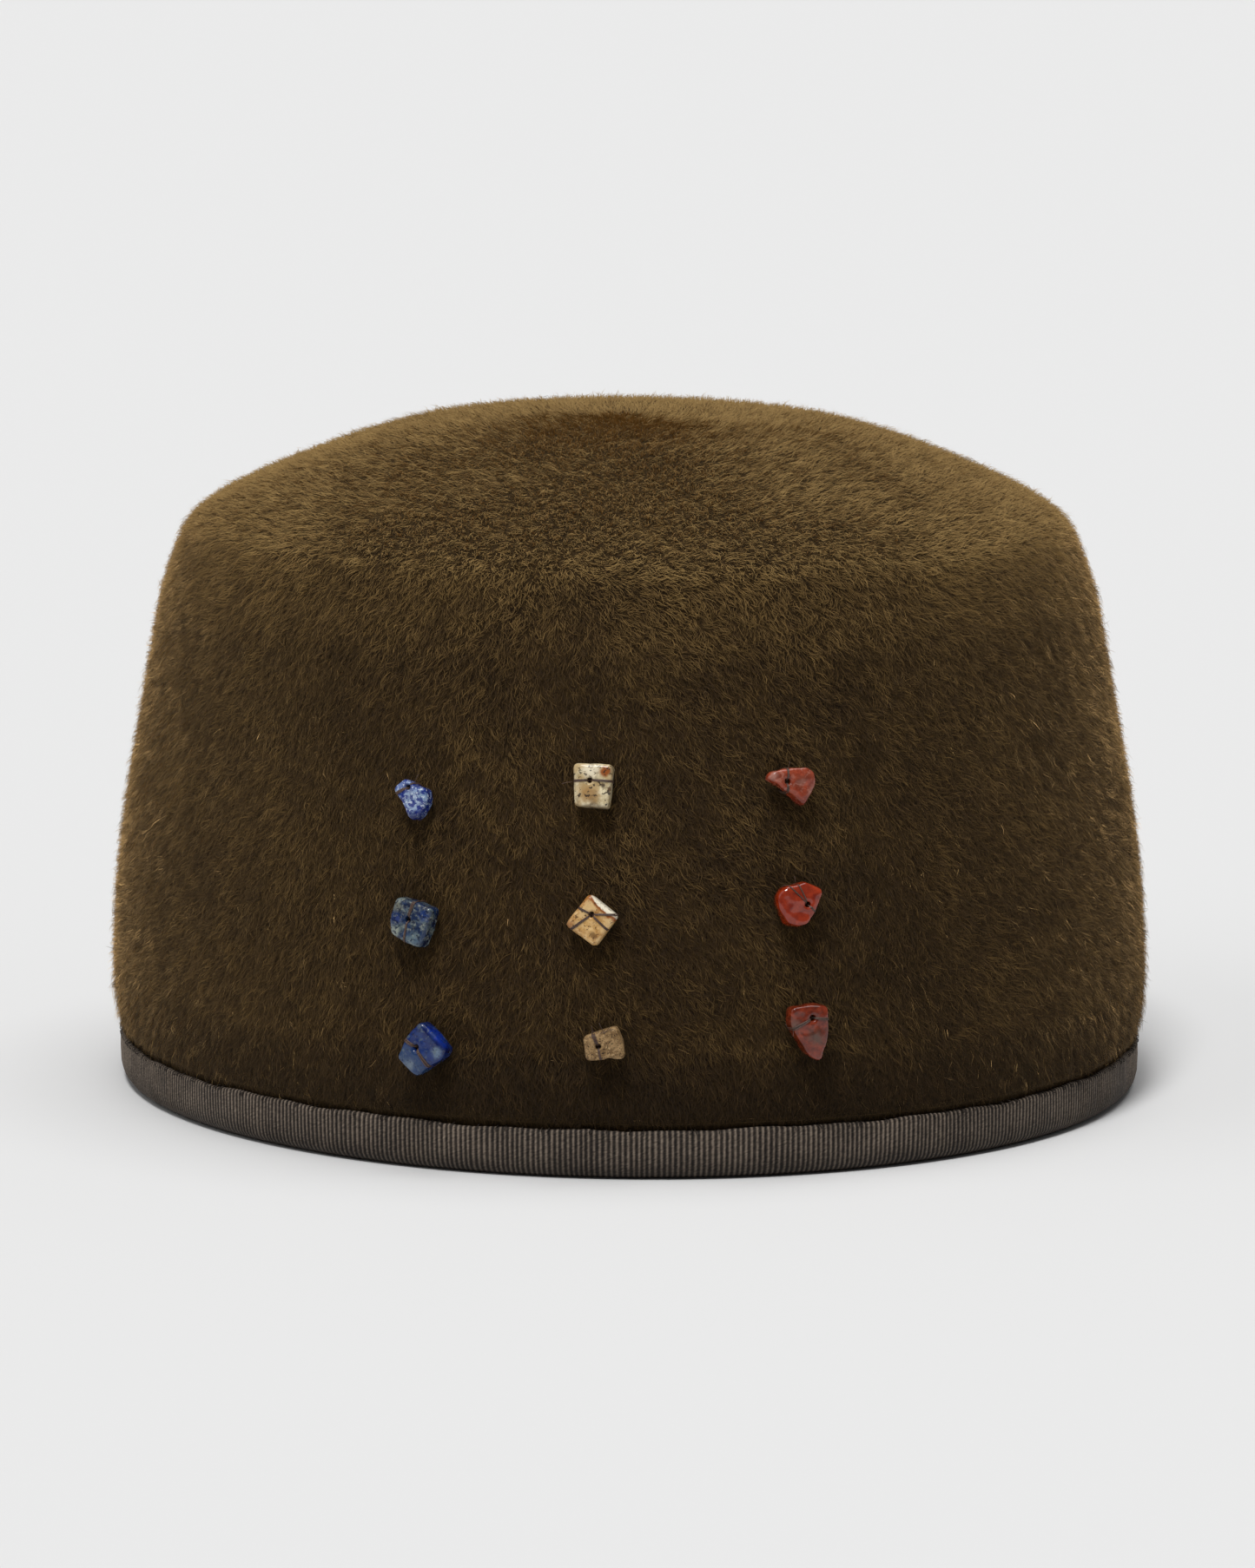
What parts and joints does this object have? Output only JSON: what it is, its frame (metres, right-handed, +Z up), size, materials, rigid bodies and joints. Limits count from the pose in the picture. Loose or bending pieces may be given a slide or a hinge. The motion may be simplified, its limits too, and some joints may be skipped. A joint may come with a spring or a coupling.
{
  "type": "stone-set felt cap",
  "caption": "Oval brimless felt cap with a ribbon-bound rim and a grid of small drilled stones sewn on the front, hollow and open at the bottom.",
  "frame": {"origin": "middle of the rim's opening, on the surface that the cap rests on", "axes": "+Z up through the crown, -Y towards the front of the cap, where the stones are, +X towards the wearer's left"},
  "size_m": [0.1784, 0.2103, 0.1154],
  "materials": {
    "felt": "long-napped olive-brown fur felt",
    "grosgrain": "ribbed taupe grosgrain ribbon",
    "lapis": "polished blue with pale clouds",
    "cream_jasper": "satin cream with brown veins",
    "tan_jasper": "satin tan with brown specks",
    "red_jasper": "polished brick red with grey veins"
  },
  "bodies": {
    "root": {"crown": "felt", "ribbon_binding": "grosgrain", "lapis_upper": "lapis", "lapis_middle": "lapis", "lapis_lower": "lapis", "cream_jasper_upper": "cream_jasper", "tan_jasper_middle": "tan_jasper", "tan_jasper_lower": "tan_jasper", "red_jasper_upper": "red_jasper", "red_jasper_middle": "red_jasper", "red_jasper_lower": "red_jasper"}
  },
  "joints": []
}
